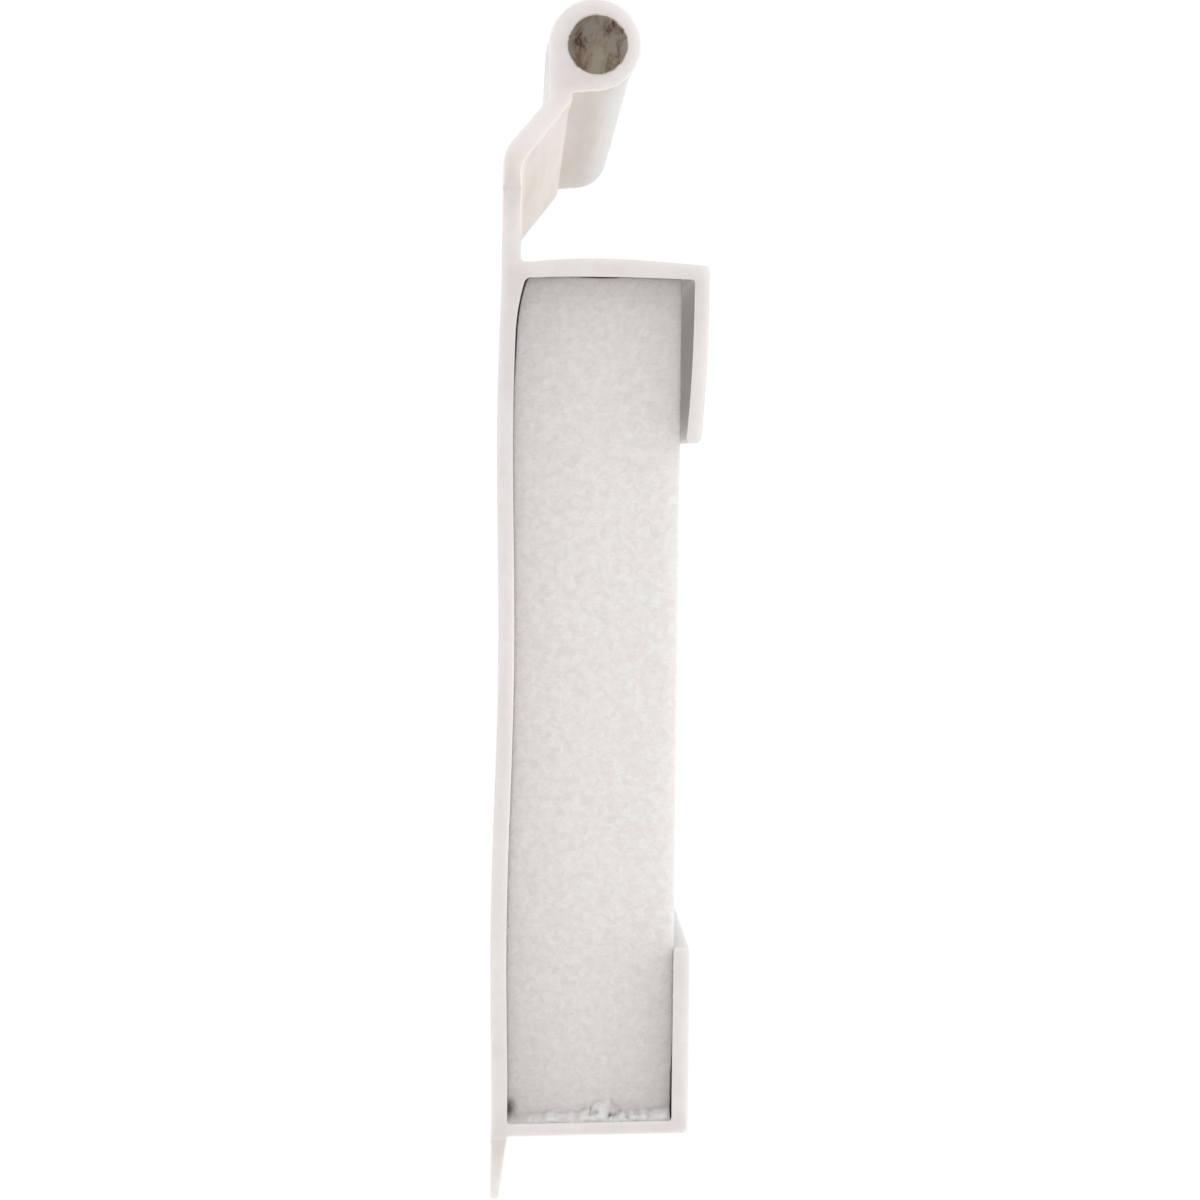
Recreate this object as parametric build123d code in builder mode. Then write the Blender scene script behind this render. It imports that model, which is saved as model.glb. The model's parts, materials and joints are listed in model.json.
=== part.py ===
"""Door sweep: a white vinyl channel with a hollow bulb seal above, a tapered fin below
and a foam core held between its two lips.

Frame: +Y runs along the extrusion, +Z is up the face wall and +X points out of the
channel's open side. The origin is on the wall's flat outer face, at mid-length and
midway between the flanges. Millimetres and degrees.
"""

import os
from math import cos, radians, sin, tan

from build123d import *

# Extrusion
length = 914.4                # 36 in, for a 36 in door
channel_inside = 44.45        # between the flanges at mid-depth, 1-3/4 in
wall_thickness = 0.84
shoulder_thickness = 1.0      # the wall above the upper flange, where it carries the bulb
corner_radius = 0.25          # outer corners of the channel
tip_radius = 0.2              # free edges of the lips

# Upper flange and its hook lip
upper_flange_thickness = 0.84
upper_depth = 10.95           # from the wall's outer face to the lip's outer face
upper_lip_drop = 9.42         # from the flange's outer face to the lip's free edge
upper_lip_thickness = 0.76
upper_lip_lean = 2.0          # the lip leans in towards the core

# Lower flange and its lip
lower_flange_thickness = 0.66
lower_depth = 10.35
lower_flange_rise = 2.0       # the flange climbs towards its lip
lower_lip_height = 9.73       # from the flange's outer corner to the lip's free edge
lower_lip_thickness = 0.84

# Bulb seal: a leg that flexes at its root, and a hollow tube
leg_root_x = 0.48
leg_root_z = 28.45
leg_thickness = 0.95
leg_slant = 38.0              # from vertical, leaning over the channel
bulb_center_x = 4.77
bulb_center_z = 34.49
bulb_radius = 2.39
bore_radius = 1.55
bore_offset = 0.11            # the bulb's wall is thinner on its outer side
bulb_foot_z = 31.65           # where the leg runs into the bulb

# Sweep fin
fin_length = 3.28             # from the wall's lower edge to the tip
fin_tip_thickness = 0.42
fin_tip_radius = 0.18

# Clearance at the two flexing roots
bulb_root_gap = 0.15
fin_root_gap = 0.1

# Foam core
core_recess = 4.5             # the core stops short of each end of the channel
core_wall_gap = 0.06
core_lip_gap = 0.15
core_flange_gap = 0.12
core_corner_radius = 0.6

# Levels that follow from those sizes
upper_inner_z = channel_inside / 2
upper_outer_z = upper_inner_z + upper_flange_thickness
wall_top_z = leg_root_z - leg_thickness / 2 - bulb_root_gap
rise_slope = tan(radians(lower_flange_rise))
mid_depth = (wall_thickness + lower_depth - lower_lip_thickness) / 2


def lower_inner_z(x):
    """Height of the lower flange's inner face, which climbs away from the wall."""
    return -channel_inside / 2 + (x - mid_depth) * rise_slope


def lower_outer_z(x):
    """Height of the lower flange's outer face."""
    return lower_inner_z(x) - lower_flange_thickness


wall_bottom_z = lower_outer_z(wall_thickness)
lower_lip_inner_x = lower_depth - lower_lip_thickness
lower_lip_top_z = lower_outer_z(lower_depth) + lower_lip_height

# Face wall: flat outside, stepped out above the upper flange
with BuildPart() as face_wall:
    with BuildSketch(Plane.XZ):
        with BuildLine():
            Polyline(
                (0, wall_bottom_z),
                (0, wall_top_z),
                (shoulder_thickness, wall_top_z),
                (shoulder_thickness, upper_inner_z),
                (wall_thickness, upper_inner_z),
                (wall_thickness, wall_bottom_z),
                close=True,
            )
        make_face()
    extrude(amount=length / 2, both=True)

# Upper flange: square to the wall, with the channel's upper outer corner
with BuildPart() as upper_flange:
    with BuildSketch(Plane.XZ) as upper_flange_section:
        with BuildLine():
            Polyline(
                (shoulder_thickness, upper_inner_z),
                (shoulder_thickness, upper_outer_z),
                (upper_depth, upper_outer_z),
                (upper_depth, upper_inner_z),
                close=True,
            )
        make_face()
        outer_corner = upper_flange_section.vertices().sort_by(Axis.X)[-2:].sort_by(Axis.Y)[-1]
        fillet(outer_corner, radius=corner_radius)
    extrude(amount=length / 2, both=True)

# Upper lip: hooks down over the core and leans in
lean_slope = tan(radians(upper_lip_lean))
upper_lip_length = upper_lip_drop - upper_flange_thickness
upper_lip_tip_z = upper_inner_z - upper_lip_length
upper_lip_tip_x = upper_depth - upper_lip_length * lean_slope
with BuildPart() as upper_lip:
    with BuildSketch(Plane.XZ) as upper_lip_section:
        with BuildLine():
            Polyline(
                (upper_depth - upper_lip_thickness, upper_inner_z),
                (upper_depth, upper_inner_z),
                (upper_lip_tip_x, upper_lip_tip_z),
                (upper_lip_tip_x - upper_lip_thickness, upper_lip_tip_z),
                close=True,
            )
        make_face()
        free_edge = upper_lip_section.vertices().group_by(Axis.Y)[0]
        fillet(free_edge, radius=tip_radius)
    extrude(amount=length / 2, both=True)

# Lower flange: climbs towards its lip, with the channel's lower outer corner
with BuildPart() as lower_flange:
    with BuildSketch(Plane.XZ) as lower_flange_section:
        with BuildLine():
            Polyline(
                (wall_thickness, lower_inner_z(wall_thickness)),
                (lower_depth, lower_inner_z(lower_depth)),
                (lower_depth, lower_outer_z(lower_depth)),
                (wall_thickness, lower_outer_z(wall_thickness)),
                close=True,
            )
        make_face()
        outer_corner = lower_flange_section.vertices().sort_by(Axis.X)[-2:].sort_by(Axis.Y)[0]
        fillet(outer_corner, radius=corner_radius)
    extrude(amount=length / 2, both=True)

# Lower lip: stands up in front of the core
with BuildPart() as lower_lip:
    with BuildSketch(Plane.XZ) as lower_lip_section:
        with BuildLine():
            Polyline(
                (lower_lip_inner_x, lower_inner_z(lower_lip_inner_x)),
                (lower_lip_inner_x, lower_lip_top_z),
                (lower_depth, lower_lip_top_z),
                (lower_depth, lower_inner_z(lower_depth)),
                close=True,
            )
        make_face()
        free_edge = lower_lip_section.vertices().group_by(Axis.Y)[-1]
        fillet(free_edge, radius=tip_radius)
    extrude(amount=length / 2, both=True)

# Bulb leg: a slanted strip whose root is a half round about the flexing line
root = Vector(leg_root_x, leg_root_z)
along_leg = Vector(sin(radians(leg_slant)), cos(radians(leg_slant)))
across_leg = Vector(cos(radians(leg_slant)), -sin(radians(leg_slant)))
half_leg = leg_thickness / 2
outer_start = root - across_leg * half_leg
inner_start = root + across_leg * half_leg
outer_end = outer_start + along_leg * ((bulb_foot_z - outer_start.Y) / along_leg.Y)
inner_end = inner_start + along_leg * ((bulb_foot_z - inner_start.Y) / along_leg.Y)
with BuildPart() as bulb_leg:
    with BuildSketch(Plane.XZ):
        with BuildLine():
            Polyline(outer_start, outer_end, inner_end, inner_start)
            ThreePointArc(inner_start, root - along_leg * half_leg, outer_start)
        make_face()
    extrude(amount=length / 2, both=True)

# Bulb tube: a hollow round bulb whose left side drops straight onto the leg
with BuildPart() as bulb_tube:
    with BuildSketch(Plane.XZ):
        with BuildLine():
            Polyline(
                (bulb_center_x - bulb_radius, bulb_center_z),
                outer_end,
                inner_end,
                (bulb_center_x, bulb_center_z),
                close=True,
            )
        make_face()
        with Locations((bulb_center_x, bulb_center_z)):
            Circle(bulb_radius)
        with Locations((bulb_center_x + bore_offset, bulb_center_z)):
            Circle(bore_radius, mode=Mode.SUBTRACT)
    extrude(amount=length / 2, both=True)

# Sweep fin: half-round root in line with the wall, tapering to a thin rounded tip
fin_root_x = wall_thickness / 2
fin_root_z = wall_bottom_z - fin_root_gap - wall_thickness / 2
fin_tip_z = wall_bottom_z - fin_length
with BuildPart() as sweep_fin:
    with BuildSketch(Plane.XZ) as sweep_fin_section:
        with BuildLine():
            Polyline(
                (0, fin_root_z),
                (0, fin_tip_z),
                (fin_tip_thickness, fin_tip_z),
                (wall_thickness, fin_root_z),
            )
            ThreePointArc(
                (wall_thickness, fin_root_z),
                (fin_root_x, fin_root_z + wall_thickness / 2),
                (0, fin_root_z),
            )
        make_face()
        tip = sweep_fin_section.vertices().group_by(Axis.Y)[0]
        fillet(tip, radius=fin_tip_radius)
    extrude(amount=length / 2, both=True)

# Foam core: a soft block that slides along the channel behind the lips
core_left_x = wall_thickness + core_wall_gap
core_right_x = lower_lip_inner_x - core_lip_gap
core_bottom_z = lower_inner_z(core_right_x) + core_flange_gap
core_top_z = upper_inner_z - core_flange_gap
with BuildPart() as foam_core:
    with BuildSketch(Plane.XZ) as core_section:
        with Locations(((core_left_x + core_right_x) / 2, (core_bottom_z + core_top_z) / 2)):
            Rectangle(core_right_x - core_left_x, core_top_z - core_bottom_z)
        fillet(core_section.vertices(), radius=core_corner_radius)
    extrude(amount=length / 2 - core_recess, both=True)

pieces = {
    "face_wall": face_wall,
    "upper_flange": upper_flange,
    "upper_lip": upper_lip,
    "lower_flange": lower_flange,
    "lower_lip": lower_lip,
    "bulb_leg": bulb_leg,
    "bulb_tube": bulb_tube,
    "sweep_fin": sweep_fin,
    "foam_core": foam_core,
}

os.makedirs("parts", exist_ok=True)
for name, piece in pieces.items():
    piece.part.label = name
    export_step(piece.part, f"parts/{name}.step")

print(f"bulb root at x {leg_root_x:.3f}, z {leg_root_z:.3f}")
print(f"fin root at x {fin_root_x:.3f}, z {fin_root_z:.3f}")
print(f"lower lip outer face at x {lower_depth:.3f}, top at z {lower_lip_top_z:.3f}")
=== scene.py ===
import json
import math

import bpy
import numpy as np
from mathutils import Matrix, Vector
from mathutils.geometry import tessellate_polygon


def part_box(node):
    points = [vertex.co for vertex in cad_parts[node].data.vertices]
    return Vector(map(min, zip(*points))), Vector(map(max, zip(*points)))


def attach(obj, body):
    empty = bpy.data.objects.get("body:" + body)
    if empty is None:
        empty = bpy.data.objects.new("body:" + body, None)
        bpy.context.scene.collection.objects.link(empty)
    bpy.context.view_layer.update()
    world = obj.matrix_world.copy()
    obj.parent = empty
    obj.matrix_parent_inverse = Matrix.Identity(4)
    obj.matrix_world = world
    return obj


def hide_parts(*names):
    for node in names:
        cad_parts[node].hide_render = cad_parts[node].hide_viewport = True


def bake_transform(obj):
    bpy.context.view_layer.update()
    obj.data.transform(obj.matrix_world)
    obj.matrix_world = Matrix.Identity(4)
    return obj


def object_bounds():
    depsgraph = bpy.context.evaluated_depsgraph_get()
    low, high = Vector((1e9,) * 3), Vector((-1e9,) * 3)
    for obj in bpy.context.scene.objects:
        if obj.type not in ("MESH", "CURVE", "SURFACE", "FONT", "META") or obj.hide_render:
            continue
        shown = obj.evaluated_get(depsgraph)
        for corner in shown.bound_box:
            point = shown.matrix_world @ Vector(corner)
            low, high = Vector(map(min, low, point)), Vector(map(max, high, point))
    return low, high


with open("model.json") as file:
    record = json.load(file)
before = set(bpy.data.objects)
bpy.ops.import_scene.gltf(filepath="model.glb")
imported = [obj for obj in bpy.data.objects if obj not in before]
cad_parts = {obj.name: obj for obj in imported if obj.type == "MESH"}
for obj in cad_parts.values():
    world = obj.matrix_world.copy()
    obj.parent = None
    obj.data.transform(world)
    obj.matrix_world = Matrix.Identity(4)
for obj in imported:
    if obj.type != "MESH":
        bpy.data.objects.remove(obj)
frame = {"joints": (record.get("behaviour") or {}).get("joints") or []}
cadLow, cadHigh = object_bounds()
mm = 0.001                                   # shapes are worked out in millimetres
print("frame loaded, length", round((cadHigh.y - cadLow.y) / mm, 1), "mm")


def nodeBox(node):
    low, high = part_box(node)
    return np.array(low) / mm, np.array(high) / mm


wallLow, wallHigh = nodeBox("face_wall")
topLow, topHigh = nodeBox("upper_flange")
hookLow = nodeBox("upper_lip")[0]
baseLow = nodeBox("lower_flange")[0]
lipLow, lipHigh = nodeBox("lower_lip")
legLow = nodeBox("bulb_leg")[0]
tubeLow, tubeHigh = nodeBox("bulb_tube")
finLow = nodeBox("sweep_fin")[0]
coreLow, coreHigh = nodeBox("foam_core")
hingeAt = {j["name"]: np.array(j["pos_m"]) / mm for j in frame["joints"] if "pos_m" in j}
nearY, farY = wallLow[1], wallHigh[1]
shoulderX = topLow[0]                        # the wall is this thick above the upper flange
wallThick = baseLow[0]
legSeam = legLow[2] - 1.1                    # the soft bulb is fused to the wall here
finSeam = baseLow[2] - 0.2                   # and the fin here
bulbRadius = (tubeHigh[0] - tubeLow[0]) / 2
bulbX, bulbZ = tubeHigh[0] - bulbRadius, tubeHigh[2] - bulbRadius


def linear(hexColour):
    # sRGB hex to linear: the standard curve, straight near black and a 2.4 power above
    parts = [int(hexColour[i:i + 2], 16) / 255 for i in (1, 3, 5)]
    return tuple(p / 12.92 if p <= 0.04045 else ((p + 0.055) / 1.055) ** 2.4 for p in parts) + (1,)


def ease(t):
    # 0 below 0, 1 above 1, and a cubic S between
    t = np.clip(t, 0, 1)
    return t * t * (3 - 2 * t)


def hashed(cells, seed):
    # one repeatable number from 0 to 1 for each whole-number cell: a product of primes, folded
    n = (cells[..., 0] * 73856093) ^ (cells[..., 1] * 19349663) ^ (cells[..., 2] * 83492791)
    n = (n + seed * 2654435761) & 0xFFFFFFFF
    n = ((n ^ (n >> 15)) * 2246822519) & 0xFFFFFFFF
    n = ((n ^ (n >> 13)) * 3266489917) & 0xFFFFFFFF
    return (n ^ (n >> 16)) / 0xFFFFFFFF


def softNoise(points, cell, seed):
    # value noise: random heights on a lattice of that cell size, eased between corners, -1 to 1
    p = points / cell
    base = np.floor(p).astype(np.int64)
    f = p - base
    f = f * f * (3 - 2 * f)
    total = 0
    for corner in np.ndindex(2, 2, 2):
        c = np.array(corner)
        weight = np.prod(np.where(c, f, 1 - f), axis=-1)
        total = total + weight * hashed(base + c, seed)
    return total * 2 - 1


def cellNoise(points, cell, seed):
    # distance to the nearest and second nearest of one random point per lattice cell, in cells
    p = points / cell
    base = np.floor(p).astype(np.int64)
    nearest = np.full(len(p), 9.0)
    second = np.full(len(p), 9.0)
    for step in np.ndindex(3, 3, 3):
        c = base + np.array(step) - 1
        spot = c + np.stack([hashed(c, seed + k) for k in range(3)], axis=-1)
        d = np.linalg.norm(spot - p, axis=-1)
        second = np.minimum(np.maximum(nearest, d), second)
        nearest = np.minimum(nearest, d)
    return nearest, second


def roundedOutline(corners, spacing):
    # a closed outline through (x, z, radius) corners: each corner is an arc tangent to its two
    # runs, and the runs between are cut into equal steps no longer than the spacing
    pts = np.array([c[:2] for c in corners], float)
    radii = np.array([c[2] for c in corners], float)
    pieces = []
    count = len(pts)
    starts, ends = [], []
    for i in range(count):
        here, before, after = pts[i], pts[i - 1], pts[(i + 1) % count]
        a = (before - here) / np.linalg.norm(before - here)
        b = (after - here) / np.linalg.norm(after - here)
        half = math.acos(np.clip(a @ b, -1, 1)) / 2
        if radii[i] <= 0 or abs(half - math.pi / 2) < 1e-4:
            arc = here[None, :]
        else:
            reach = radii[i] / math.tan(half)
            middle = here + (a + b) / np.linalg.norm(a + b) * radii[i] / math.sin(half)
            steps = max(3, int(math.ceil((math.pi - 2 * half) * radii[i] / spacing)) + 2)
            turn = np.linspace(0, 1, steps)
            p0, p1 = here + a * reach - middle, here + b * reach - middle
            angle = math.pi - 2 * half
            weights = np.stack([np.sin((1 - turn) * angle), np.sin(turn * angle)], 1)
            arc = middle + weights / math.sin(angle) @ np.stack([p0, p1])
        starts.append(arc[0])
        ends.append(arc[-1])
        pieces.append(arc)
    outline = []
    for i in range(count):
        outline.append(pieces[i])
        run = starts[(i + 1) % count] - ends[i]
        cuts = int(math.ceil(np.linalg.norm(run) / spacing))
        if cuts > 1:
            outline.append(ends[i] + np.linspace(0, 1, cuts + 1)[1:-1, None] * run)
    return np.concatenate(outline)


def turnedLeft(outline):
    # the same outline, running anticlockwise
    x, z = outline.T
    area = np.sum(x * np.roll(z, -1) - np.roll(x, -1) * z)
    return outline if area > 0 else outline[::-1]


def stationList(low, high, shape):
    # places along the length, as (y, inset): a quarter round of the cut's edge radius at each
    # end, then steps that grow by half from the ends to the full step
    edge, step, unit, growth = shape["cutEdge"], shape["step"], 0.25, 1.5
    phi = np.linspace(0, math.pi / 2, 4)
    nearEdge = np.stack([low + edge * (1 - np.cos(phi)), edge * (1 - np.sin(phi))], 1)
    farEdge = np.stack([high - edge * (1 - np.cos(phi)), edge * (1 - np.sin(phi))], 1)[::-1]
    grown = edge + unit * (growth ** np.arange(40) - 1)
    grown = grown[(grown < (high - low) / 3) & (np.diff(grown, append=1e9) < step)][1:]
    inner = np.linspace(low + grown[-1], high - grown[-1], int((high - low) / step))
    y = np.concatenate([low + grown[:-1], inner, (high - grown[:-1])[::-1]])
    middle = np.stack([y, np.zeros_like(y)], 1)
    return np.concatenate([nearEdge, middle, farEdge])


def stationQuads(n, rows):
    # the faces between one station's ring of n points and the next's
    i, j = np.meshgrid(np.arange(n), np.arange(rows - 1))
    k = (i + 1) % n
    return np.stack([j * n + i, (j + 1) * n + i, (j + 1) * n + k, j * n + k], -1).reshape(-1, 4)


def meshObject(name, verts, quads, tris, quadSlots, triSlots, materials):
    # verts in millimetres; quads are smooth walls, tris are flat cut ends
    mesh = bpy.data.meshes.new(name)
    mesh.vertices.add(len(verts))
    mesh.vertices.foreach_set("co", (verts * mm).astype(np.float32).ravel())
    loops = np.concatenate([quads.ravel(), tris.ravel()])
    sizes = np.concatenate([np.full(len(quads), 4), np.full(len(tris), 3)])
    mesh.loops.add(len(loops))
    mesh.loops.foreach_set("vertex_index", loops.astype(np.int32))
    mesh.polygons.add(len(sizes))
    mesh.polygons.foreach_set("loop_start", (np.cumsum(sizes) - sizes).astype(np.int32))
    smooth = np.concatenate([np.ones(len(quads), bool), np.zeros(len(tris), bool)])
    mesh.polygons.foreach_set("use_smooth", smooth)
    mesh.polygons.foreach_set("material_index", np.concatenate([quadSlots, triSlots]).astype(np.int32))
    mesh.update(calc_edges=True)
    mesh.validate()
    for material in materials:
        mesh.materials.append(material)
    piece = bpy.data.objects.new(name, mesh)
    bpy.context.scene.collection.objects.link(piece)
    return piece


def extruded(name, outlines, stations, shape, materials, wallSlots, cutSlot, seams=()):
    # a section carried along the length: every outline point goes to every station, moved into
    # the material by the station's inset, then shape(x, y, z) gives the settled place. The first
    # outline runs anticlockwise and holes clockwise, so the material is always on the left.
    # Points at the height of a fused seam keep that height.
    verts, quads, quadSlots, capRings, total = [], [], [], [], 0
    for outline, slotNumber in zip(outlines, wallSlots):
        along = np.roll(outline, -1, 0) - np.roll(outline, 1, 0)
        along /= np.linalg.norm(along, axis=1)[:, None]
        inward = np.stack([-along[:, 1], along[:, 0]], 1)
        for seam in seams:
            atSeam = np.abs(outline[:, 1] - seam) < 1e-6
            side = np.sign(outline[atSeam, 0].mean() - outline[atSeam, 0]) if atSeam.any() else 0
            inward[atSeam] = np.stack([side, 0 * side], 1) if atSeam.any() else 0
        n, rows = len(outline), len(stations)
        section = outline[None] + inward[None] * stations[:, 1, None, None]
        x, z = section[..., 0].ravel(), section[..., 1].ravel()
        y = np.repeat(stations[:, 0], n)
        verts.append(np.stack(shape(x, y, z), 1))
        quads.append(total + stationQuads(n, rows))
        quadSlots.append(np.full(n * (rows - 1), slotNumber))
        capRings.append((total + np.arange(n), total + (rows - 1) * n + np.arange(n)))
        total += n * rows
    verts = np.concatenate(verts)
    tris = []
    for end, sign in ((0, -1), (1, 1)):
        rings = [ring[end] for ring in capRings]
        flat = np.concatenate(rings)
        loops = [[Vector((verts[v, 0], verts[v, 2], 0)) for v in ring] for ring in rings]
        filled = np.array(tessellate_polygon(loops))
        t = flat[filled]
        a, b, c = verts[t[:, 0]], verts[t[:, 1]], verts[t[:, 2]]
        facing = np.cross(b - a, c - a)[:, 1] * sign
        t[facing < 0] = t[facing < 0][:, ::-1]
        tris.append(t)
    tris = np.concatenate(tris)
    return meshObject(name, verts, np.concatenate(quads), tris, np.concatenate(quadSlots),
                      np.full(len(tris), cutSlot), materials)


def addNode(tree, kind, inputs=None, links=None, **settings):
    # one node with its settings, its sockets' own values, and links as {socket: (node, output)}
    node = tree.nodes.new("ShaderNode" + kind)
    for name, value in settings.items():
        setattr(node, name, value)
    for name, value in (inputs or {}).items():
        node.inputs[name].default_value = value
    for name, (source, output) in (links or {}).items():
        tree.links.new(source.outputs[output], node.inputs[name])
    return node


def setStops(ramp, *stops):
    # the two ends of a colour ramp, as (position, hex colour)
    for element, (position, colour) in zip(ramp.color_ramp.elements, stops):
        element.position = position
        element.color = linear(colour)


def blankMaterial(name):
    material = bpy.data.materials.new(name)
    material.use_nodes = True
    tree = material.node_tree
    tree.nodes.clear()
    return material, tree


rigidLook = {
    "colour": "#DDD8D7",       # white PVC with a little warmth
    "shade": "#D5D0CE",        # its slightly creamier patches
    "roughness": 0.42,
    "cutRoughness": 0.12,      # more on a sawn end
    "ior": 1.53,               # PVC
    "gloss": 0.3,
    "bleedDepth": 2.2,         # mm that daylight wanders through it
    "bleedTint": (1.0, 0.95, 0.9),
    "seamReach": 3.0,          # mm from a fused seam to the full depth
    "seamLift": 1.14,          # how much paler it is at the seam, for the light it misses there
    "tubePaintedLift": 1.0,           # painted light: how much paler the skin is made up at the bulb, to lighten its shaded underside
    "tubeFrom": 30.8,          # mm, heights between which that comes in
    "tubeTo": 32.4,
    "dieLine": 0.5,            # mm between faint draw lines
    "lineShare": 0.5,          # of their shade against the patches'
    "patch": 3.5,              # mm across a creamier patch
    "shadeAt": 0.5,            # of the two together
    "colourAt": 0.9,
    "drawn": 0.004,            # across over along, on the drawn skin
    "grain": 0.12,             # mm, the fine grain on it
    "grainShare": 0.35,        # of the relief, against the draw lines
    "relief": 0.012,           # mm high
    "skinBump": 0.3,
    "cutBump": 0.25,
}


def farFrom(tree, place, axis, value):
    # how far a point is from that x or z, given in mm: the difference without its sign
    apart = addNode(tree, "Math", {1: value * mm}, {0: (place, axis)}, operation="SUBTRACT")
    return addNode(tree, "Math", {}, {0: (apart, "Value")}, operation="ABSOLUTE")


def bleedNear(tree, coords, depth, reach, lift):
    # light wanders less and less towards a fused seam, so that the seam casts no shadow inside;
    # the colour is lifted there to make up for it
    fused, least = 0.05 * mm, 0.02 * mm      # from the seam, and how far light wanders there
    place = addNode(tree, "SeparateXYZ", {}, {"Vector": (coords, "Object")})
    nearest = None
    for seam in (legSeam, finSeam):
        apart = farFrom(tree, place, "Z", seam)
        if nearest:
            nearest = addNode(tree, "Math", {}, {0: (nearest, "Value"), 1: (apart, "Value")},
                              operation="MINIMUM")
        else:
            nearest = apart
    bleed = addNode(tree, "MapRange", {
        "From Min": fused, "From Max": reach * mm, "To Min": least, "To Max": depth * mm,
    }, {"Value": (nearest, "Value")})
    lifted = addNode(tree, "MapRange", {
        "From Min": fused, "From Max": reach * mm, "To Min": lift, "To Max": 1.0,
    }, {"Value": (nearest, "Value")})
    return bleed, lifted


def thinOutside(tree, place, bleed, lifted, look):
    # on the outer faces light wanders less than the wall is thick, so that the foam pressed
    # against the other side doesn't show through as a grey shadow; their colour is painted paler too,
    # painted light to make up for the light they lose
    aside = farFrom(tree, place, "X", topHigh[0] / 2)
    outer = None
    for source, inside, outside in (                        # mm, from an inner face to an outer
        ((place, "Z"), topLow[2] + 0.3, topLow[2] + 0.5),
        ((place, "Z"), baseLow[2] + 0.62, baseLow[2] + 0.45),
        ((aside, "Value"), 4.82, 5.1),
    ):
        band = addNode(tree, "MapRange", {"From Min": inside * mm, "From Max": outside * mm},
                       {"Value": source})
        if outer:
            outer = addNode(tree, "Math", {}, {0: (outer, 0), 1: (band, "Result")}, operation="MAXIMUM")
        else:
            outer = band
    thinner = addNode(tree, "MapRange", {"To Max": look["faceDepth"] * mm},
                      {"Value": (outer, 0), "To Min": (bleed, "Result")})
    # painted light: the outer faces are made paler, to make up for the light they lose
    paler = addNode(tree, "MapRange", {"To Min": 1.0, "To Max": look["facePaintedLift"]},
                    {"Value": (outer, 0)})
    lifted = addNode(tree, "Math", {}, {0: (lifted, "Value"), 1: (paler, "Result")},
                     operation="MULTIPLY")
    return thinner, lifted


def vinyl(name, look, cut):
    # extruded PVC: satin skin with faint draw lines along the length, from the die; the sawn
    # end is rougher, with an even grain. The eye sees soft streaks that run to the far end, and
    # a calm, nearly even cut face that light seeps into.
    material, tree = blankMaterial(name)
    coords = addNode(tree, "TexCoord")
    stretched = addNode(tree, "Mapping", {"Scale": (1, 1 if cut else look["drawn"], 1)},
                        {"Vector": (coords, "Object")})
    lines, patches, grain = (
        addNode(tree, "TexNoise", {"Scale": 1 / (look[size] * mm), "Detail": detail},
                {"Vector": (stretched, "Vector")})
        for size, detail in (("dieLine", 3.0), ("patch", 2.0), ("grain", 2.0)))
    mixed = addNode(tree, "Math", {1: look["lineShare"]}, {0: (lines, "Fac")}, operation="MULTIPLY")
    mixed = addNode(tree, "Math", {}, {0: (mixed, "Value"), 1: (patches, "Fac")}, operation="ADD")
    ramp = addNode(tree, "ValToRGB", {}, {"Fac": (mixed, "Value")})
    setStops(ramp, (look["shadeAt"], look["shade"]), (look["colourAt"], look["colour"]))
    height = addNode(tree, "Math", {1: look["grainShare"]}, {0: (grain, "Fac")}, operation="MULTIPLY")
    height = addNode(tree, "Math", {}, {0: (height, "Value"), 1: (lines, "Fac")}, operation="ADD")
    bump = addNode(tree, "Bump", {
        "Strength": look["cutBump" if cut else "skinBump"], "Distance": look["relief"] * mm,
    }, {"Height": (height, "Value")})
    bleed, lifted = bleedNear(tree, coords, look["bleedDepth"], look["seamReach"], look["seamLift"])
    place = addNode(tree, "SeparateXYZ", {}, {"Vector": (coords, "Object")})
    # painted light: above these heights the skin's colour is made paler, so the bulb's shaded underside
    # looks lighter
    paintedTubeLift = addNode(tree, "MapRange", {
        "From Min": look["tubeFrom"] * mm, "From Max": look["tubeTo"] * mm,
        "To Min": 1.0, "To Max": look["tubePaintedLift"],
    }, {"Value": (place, "Z")})
    lifted = addNode(tree, "Math", {}, {0: (lifted, "Result"), 1: (paintedTubeLift, "Result")},
                     operation="MULTIPLY")
    if "faceDepth" in look:
        bleed, lifted = thinOutside(tree, place, bleed, lifted, look)
    tone = addNode(tree, "VectorMath", {}, {
        0: (ramp, "Color"), "Scale": (lifted, "Value"),
    }, operation="SCALE")
    shader = addNode(tree, "BsdfPrincipled", {
        "Roughness": look["roughness"] + (look["cutRoughness"] if cut else 0),
        "IOR": look["ior"],
        "Specular IOR Level": look["gloss"],
        "Subsurface Weight": 1.0,
        "Subsurface Radius": look["bleedTint"],
    }, {
        "Base Color": (tone, "Vector"), "Normal": (bump, "Normal"),
        "Subsurface Scale": (bleed, "Result"),
    })
    addNode(tree, "OutputMaterial", {}, {"Surface": (shader, "BSDF")})
    return material


# inside, light crosses a whole lip, but it goes only faceDepth mm into the outer faces, whose colour is
# painted paler for the light they lose
rigidSkin = dict(rigidLook, colour="#D9D4D2", shade="#D1CCC9", bleedDepth=6.0,
                 faceDepth=0.12, facePaintedLift=1.18)
# the soft skin gets painted light up at the bulb: its colour is 15 % paler there
softLook = dict(rigidLook, colour="#ECE6E0", shade="#E2D9D0", roughness=0.36, patch=2.0,
                tubePaintedLift=1.15)
ringLook = dict(rigidLook, colour="#E5DFDD", shade="#DDD6D4", seamLift=1.04)
finLook = dict(rigidLook, colour="#DDD8D5", shade="#D5CFCB", seamLift=1.08)
rigidVinyl = vinyl("rigidVinyl", rigidSkin, False)
rigidCut = vinyl("rigidVinylCut", rigidLook, True)
softVinyl = vinyl("softVinyl", softLook, False)
softCut = vinyl("softVinylCut", ringLook, True)
finCut = vinyl("finVinylCut", finLook, True)

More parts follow.
